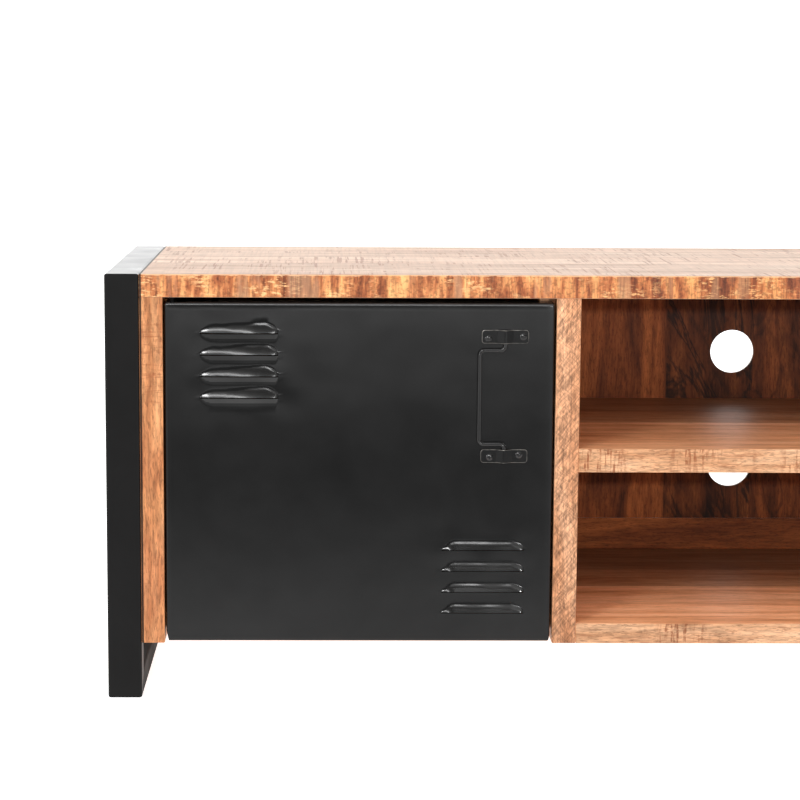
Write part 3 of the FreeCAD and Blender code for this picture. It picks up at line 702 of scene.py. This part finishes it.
def proud(u, w, width, height):
    """How far the sheet stands in front of the door's front plane."""
    out, strain = louvred(u, w)
    edge = min(u, width - u, w, height - w) - FOLD_R
    fade = eased(edge / (30 * MM))
    wave = noise.noise(Vector((u * 11 + 3, w * 13, 1.7))) * 0.35
    wave += noise.noise(Vector((u * 31 + 7, w * 33, 5.1))) * (0.12 + 0.5 * strain)
    crown = 0.15 + 0.65 * (1 - eased(u / (0.5 * width)))
    for inside, reach in ((u, 16 * MM), (width - u, 16 * MM), (w, 16 * MM), (height - w, 50 * MM)):
        crown *= eased((inside - FOLD_R) / reach)
    return out + (wave * fade + crown) * MM


def add_ring(bm, corners, offset, depth, rise=0.0):
    """A loop of points round the sheet's edge, offset outwards; rise lifts its top side."""
    ring = []
    for u, w, out_u, out_w in corners:
        ring.append(bm.verts.new((u + out_u * offset, depth, w + out_w * offset + max(0, out_w) * rise)))
    return ring


CORNER_STEPS = 4
FOLD_STEPS = 5


def rim_points(across, up):
    """(u, w, outward u, outward w) round the edge of the grid, corners fanned out."""
    points = []
    last_u, last_w = across[-1], up[-1]
    first_u, first_w = across[0], up[0]
    sides = (
        [(u, first_w, 0, -1) for u in across],
        [(last_u, w, 1, 0) for w in up],
        [(u, last_w, 0, 1) for u in reversed(across)],
        [(first_u, w, -1, 0) for w in reversed(up)],
    )
    for number, side in enumerate(sides):
        points += side
        turn = -math.pi / 2 + number * math.pi / 2
        u, w = side[-1][0], side[-1][1]
        for step in range(1, CORNER_STEPS):
            angle = turn + math.pi / 2 * step / CORNER_STEPS
            points.append((u, w, math.cos(angle), math.sin(angle)))
    return points


def pan_mesh(width, height, depth):
    """The folded door sheet as an open surface, in (across, depth, up)."""
    bm = bmesh.new()
    across, up = grid_lines(width, height)
    verts = {}
    for i, u in enumerate(across):
        for j, w in enumerate(up):
            verts[i, j] = bm.verts.new((u, -proud(u, w, width, height), w))
    for i in range(len(across) - 1):
        for j in range(len(up) - 1):
            u = (across[i] + across[i + 1]) / 2
            w = (up[j] + up[j + 1]) / 2
            if not in_slit(u, w):
                face = bm.faces.new((verts[i, j], verts[i + 1, j], verts[i + 1, j + 1], verts[i, j + 1]))
                face.material_index = 2 if louvred(u, w)[0] > PRESSED else 0
    rim = rim_points(across, up)
    rings = [add_ring(bm, rim, 0.0, 0.0)]
    for step in range(1, FOLD_STEPS + 1):
        angle = math.pi / 2 * step / FOLD_STEPS
        rings.append(add_ring(bm, rim, FOLD_R * math.sin(angle), FOLD_R * (1 - math.cos(angle))))
    rings.append(add_ring(bm, rim, FOLD_R, depth - 1.5 * MM, FLANGE_RISE))
    rings.append(add_ring(bm, rim, FOLD_R - 0.5 * MM, depth - 0.4 * MM, FLANGE_RISE))
    rings.append(add_ring(bm, rim, FOLD_R - 1.5 * MM, depth, FLANGE_RISE))
    rings.append(add_ring(bm, rim, FOLD_R - LIP_WIDTH, depth))
    for number, (inner, outer) in enumerate(zip(rings, rings[1:])):
        for k in range(len(rim)):
            after = (k + 1) % len(rim)
            face = bm.faces.new((inner[k], outer[k], outer[after], inner[after]))
            if rim[k][3] > 0 and number != FOLD_STEPS:
                face.material_index = 1
    bmesh.ops.remove_doubles(bm, verts=bm.verts, dist=0.02 * MM)
    bmesh.ops.recalc_face_normals(bm, faces=bm.faces)
    return bm


def in_slit(u, w):
    """True in the cut under a louvre's lip."""
    for middle, lowest, wide, ends, *rest in LOUVRE_SETS:
        if end_shape(u, middle, wide, ends) == 0:
            continue
        for lip in louvre_lips(lowest):
            if lip - LOUVRE_SLIT < w < lip:
                return True
    return False


def new_object(name, bm, material):
    mesh = bpy.data.meshes.new(name)
    bm.to_mesh(mesh)
    bm.free()
    obj = bpy.data.objects.new(name, mesh)
    bpy.context.scene.collection.objects.link(obj)
    mesh.materials.append(material)
    return obj


def apply_modifiers(obj):
    """Bakes an object's modifiers into its mesh."""
    evaluated = obj.evaluated_get(bpy.context.evaluated_depsgraph_get())
    mesh = bpy.data.meshes.new_from_object(evaluated)
    obj.modifiers.clear()
    obj.data = mesh


def smooth(obj, angle):
    for face in obj.data.polygons:
        face.use_smooth = True
    obj.data.set_sharp_from_angle(angle=math.radians(angle))


def solid_between(outline, low, high, axis):
    """A closed prism: an outline in the two other axes, drawn from low to high along one axis."""
    bm = bmesh.new()
    ends = []
    for level in (low, high):
        ends.append([bm.verts.new(Vector((*point[:axis], level, *point[axis:]))) for point in outline])
    bm.faces.new(ends[0])
    bm.faces.new(reversed(ends[1]))
    for k, vert in enumerate(ends[0]):
        after = (k + 1) % len(outline)
        bm.faces.new((ends[0][after], vert, ends[1][k], ends[1][after]))
    bmesh.ops.recalc_face_normals(bm, faces=bm.faces)
    return bm


def circle(centre, radius, count=24):
    turns = [2 * math.pi * k / count for k in range(count)]
    return [(centre[0] + radius * math.cos(turn), centre[1] + radius * math.sin(turn)) for turn in turns]


def corner_taper(edge, inward, upward):
    """The outline of a tapered bottom corner; inward is signed."""
    out = -math.copysign(OVERSHOOT, inward)
    return [
        (edge + out, -OVERSHOOT), (edge + inward, -OVERSHOOT), (edge + inward, 0.0),
        (edge, upward), (edge + out, upward),
    ]


def door_cuts(width, height, depth):
    """What is cut out of a door sheet, in (across, depth, up) from its hinge edge: prisms."""
    notch = [(-OVERSHOOT, SHEET), (NOTCH[0], SHEET), (NOTCH[0], NOTCH[1]), (-OVERSHOOT, NOTCH[1])]
    behind = depth + OVERSHOOT
    hinge_corner = corner_taper(0.0, *HINGE_TAPER)
    latch_corner = corner_taper(width, -LATCH_TAPER[0], LATCH_TAPER[1])
    pin_hole = circle((PIVOT_IN, PIVOT_BACK), PIN_HOLE_R)
    return [
        solid_between(notch, FOLD_R, behind, 1),
        solid_between(hinge_corner, -OVERSHOOT, behind, 1),
        solid_between(latch_corner, -OVERSHOOT, behind, 1),
        solid_between(pin_hole, -OVERSHOOT, height + OVERSHOOT, 2),
    ]


def cut_away(obj, cuts, place):
    """Takes closed meshes out of an object."""
    for bm in cuts:
        for vert in bm.verts:
            vert.co = place(vert.co)
        bmesh.ops.recalc_face_normals(bm, faces=bm.faces)
        tool = new_object("cutter", bm, DOOR_PAINT)
        hole = obj.modifiers.new("cut", "BOOLEAN")
        hole.operation = "DIFFERENCE"
        hole.solver = "EXACT"
        hole.object = tool
        apply_modifiers(obj)
        bpy.data.objects.remove(tool)


def door_sheet(side):
    """One folded, louvred door, in place of its CAD sheet."""
    node = side + "_door_panel"
    low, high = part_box(node)
    width = high.x - low.x
    height = high.z - low.z + RAISED_TOP
    depth = high.y - FRONT - SHEET / 2
    bm = pan_mesh(width - SHEET, height - SHEET, depth - SHEET / 2)
    hinge_x = low.x if side == "left" else high.x
    sign = 1 if side == "left" else -1

    def place(point):
        return Vector((hinge_x + sign * point.x, FRONT + point.y, low.z + point.z))

    middle_of_sheet = Vector((SHEET / 2, SHEET / 2, SHEET / 2))
    for vert in bm.verts:
        vert.co = place(vert.co + middle_of_sheet)
    if side == "right":
        bmesh.ops.reverse_faces(bm, faces=bm.faces)
    obj = new_object(side + "_door_sheet", bm, DOOR_PAINT)
    obj.data.materials.append(RUBBED_PAINT)
    obj.data.materials.append(PRESSED_PAINT)
    thick = obj.modifiers.new("thick", "SOLIDIFY")
    thick.thickness = SHEET
    thick.offset = 0
    apply_modifiers(obj)
    # known fault: the notch stays partly filled after this, and faces of its
    # cutting prism are left behind the lip
    cut_away(obj, door_cuts(width, height, depth + SHEET / 2), place)
    smooth(obj, SHEET_CREASE)
    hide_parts(node)
    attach(obj, side + "_door")


CLIP_WEAR = 0.55 * MM
CLIPS = [node for node in NODES if node.endswith("_handle_clip")]


def rounded_clip(node, body):
    """A handle clip with its outer edges worn round and bare, in place of its CAD node."""
    bm = bmesh.new()
    bm.from_mesh(NODES[node].data)
    bmesh.ops.remove_doubles(bm, verts=bm.verts, dist=0.01 * MM)
    bmesh.ops.dissolve_limit(bm, angle_limit=math.radians(2), verts=bm.verts, edges=bm.edges)
    outer = [edge for edge in bm.edges if edge.calc_face_angle_signed(0.0) > math.radians(30)]
    bmesh.ops.bevel(bm, geom=outer, offset=CLIP_WEAR, segments=2, profile=0.5, affect="EDGES", material=1)
    bm.verts.index_update()
    mesh = bpy.data.meshes.new(node + "_worn")
    points = [vert.co[:] for vert in bm.verts]
    faces = [[vert.index for vert in face.verts] for face in bm.faces]
    mesh.from_pydata(points, [], faces)
    mesh.polygons.foreach_set("material_index", [face.material_index for face in bm.faces])
    bm.free()
    for paint in (CLIP_PAINT, WORN_STEEL):
        mesh.materials.append(paint)
    obj = bpy.data.objects.new(node + "_worn", mesh)
    bpy.context.scene.collection.objects.link(obj)
    obj.matrix_world = NODES[node].matrix_world.copy()
    smooth(obj, CLIP_CREASE)
    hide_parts(node)
    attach(obj, body)


# --------------------------------------------------------------------- stage


# how brightly the floor glows by itself, from well in front of the stand to under it and behind
FLOOR_GLOW = (
    (-8.0, 2.8), (-6.2, 1.7), (-4.8, 0.95), (-3.2, 0.88),
    (-2.2, 0.0), (-1.5, 0.0), (-0.2, 0.42), (0.1, 0.85),
)
FLOOR_REACH = 9.0
# the dim patch ahead of the stand is centred this far to the left
DIM_MIDDLE = 0.53


def stage():
    """A large pale floor that glows by itself: white around and under the stand, where the glow washes out
    the stand's shadow, and greyer in front of it.
    """
    bpy.ops.mesh.primitive_plane_add(size=80, location=(0, 0, 0))
    floor = bpy.context.object
    floor.name = "floor"
    s = Shader("floor_white")
    far_end = FLOOR_GLOW[0][0]
    ahead = s.maths("SUBTRACT", s.split(s.place)[1], FRONT + far_end)
    ahead = s.maths("DIVIDE", ahead, FLOOR_REACH)
    stops = [((y - far_end) / FLOOR_REACH, glow) for y, glow in FLOOR_GLOW]
    beside = s.maths("ABSOLUTE", s.maths("ADD", s.split(s.place)[0], DIM_MIDDLE))
    beside = s.ramp(s.maths("MULTIPLY", beside, 0.5), [(0.4, 0.0), (0.6, 1.0)])
    well_ahead = s.ramp(ahead, [(0.667, 1.0), (0.787, 0.0)])
    around = s.maths("MULTIPLY", beside, well_ahead)
    glow = s.maths("MAXIMUM", s.ramp(ahead, stops, "EASE"), around)
    s.plug(s.surface.inputs["Emission Color"], glow)
    s.surface.inputs["Emission Strength"].default_value = 1.0
    grain = s.noise(s.place, scale=3, detail=2)
    near = s.ramp(ahead, [(0.733, 0.0), (0.867, 1.0)])
    tone = s.mix(near, (0.12, 0.12, 0.12), s.ramp(grain, [(0.3, 0.78), (0.7, 0.82)]))
    floor.data.materials.append(s.finish(tone, 0.7))


def area_light(name, place, target, size, radiance):
    """A rectangular soft light that faces its target."""
    data = bpy.data.lights.new(name, "AREA")
    data.shape = "RECTANGLE"
    data.size, data.size_y = size
    data.energy = radiance * math.pi * size[0] * size[1]
    obj = bpy.data.objects.new(name, data)
    bpy.context.scene.collection.objects.link(obj)
    obj.location = place
    aim = Vector(target) - Vector(place)
    obj.rotation_mode = "QUATERNION"
    obj.rotation_quaternion = aim.to_track_quat("-Z", "Y")


SKY_FRONT = 0.2
SKY_BACK = 2.6
SKY_TOP = 0.8


def sky():
    """The white room: bright low behind the stand, dim behind the camera."""
    world = bpy.data.worlds.new("studio")
    bpy.context.scene.world = world
    world.use_nodes = True
    nodes, links = world.node_tree.nodes, world.node_tree.links

    def ramp(value, start, end, low, high):
        made = nodes.new("ShaderNodeMapRange")
        made.interpolation_type = "SMOOTHSTEP"
        links.new(value, made.inputs["Value"])
        for key, number in (("From Min", start), ("From Max", end)):
            made.inputs[key].default_value = number
        for key, number in (("To Min", low), ("To Max", high)):
            if isinstance(number, bpy.types.NodeSocket):
                links.new(number, made.inputs[key])
            else:
                made.inputs[key].default_value = number
        return made.outputs["Result"]

    parts = nodes.new("ShaderNodeSeparateXYZ")
    links.new(nodes.new("ShaderNodeTexCoord").outputs["Generated"], parts.inputs[0])
    low = ramp(parts.outputs["Y"], -0.3, 0.8, SKY_FRONT, SKY_BACK)
    all_round = ramp(parts.outputs["Z"], 0.15, 0.7, low, SKY_TOP)
    links.new(all_round, nodes["Background"].inputs["Strength"])
    nodes["Background"].inputs["Color"].default_value = (1, 1, 1, 1)


def lights():
    """A softbox above the camera, a dimmer one beside it, a small lamp, and a strip at the left."""
    middle = (0, FRONT, 0.3)
    area_light("softbox", (-1.6, FRONT - 2.2, 1.9), middle, (0.5, 0.75), 25.0)
    area_light("fill", (-0.55, FRONT - 2.2, 1.9), middle, (1.2, 0.32), 6.6)
    area_light("lamp", (0.75, FRONT - 2.75, 0.83), middle, (0.06, 0.06), 2150)
    area_light("strip", (-3.0, FRONT - 1.5, 1.1), middle, (0.3, 1.0), 20.0)


CAMERA_PLACE = (-0.5457, FRONT - 2.7087, 0.7236)
# yaw, pitch and roll in degrees
CAMERA_TURN = (0.96, -8.36, 0.29)
LENS = 106.2
LENS_SHIFT = (0.045, 0.031)


def camera():
    """The view of the photograph: from the left, a little above the top."""
    data = bpy.data.cameras.new("camera")
    obj = bpy.data.objects.new("camera", data)
    bpy.context.scene.collection.objects.link(obj)
    data.sensor_width = 36
    data.lens = LENS
    data.shift_x, data.shift_y = LENS_SHIFT
    yaw, pitch, roll = [math.radians(angle) for angle in CAMERA_TURN]
    forward = Vector((math.sin(yaw) * math.cos(pitch), math.cos(yaw) * math.cos(pitch), math.sin(pitch)))
    level = Vector((math.cos(yaw), -math.sin(yaw), 0))
    upright = level.cross(forward)
    right = level * math.cos(roll) + upright * math.sin(roll)
    up = upright * math.cos(roll) - level * math.sin(roll)
    turn = Matrix((right, up, -forward)).transposed()
    obj.matrix_world = Matrix.Translation(CAMERA_PLACE) @ turn.to_4x4()
    data.clip_end = 200
    bpy.context.scene.camera = obj


dress_cad_nodes()
for door_side in SIDES:
    door_sheet(door_side)
for clip in CLIPS:
    rounded_clip(clip, clip.split("_")[0] + "_door")
stage()
sky()
lights()
camera()
bpy.context.scene.view_settings.view_transform = "Standard"
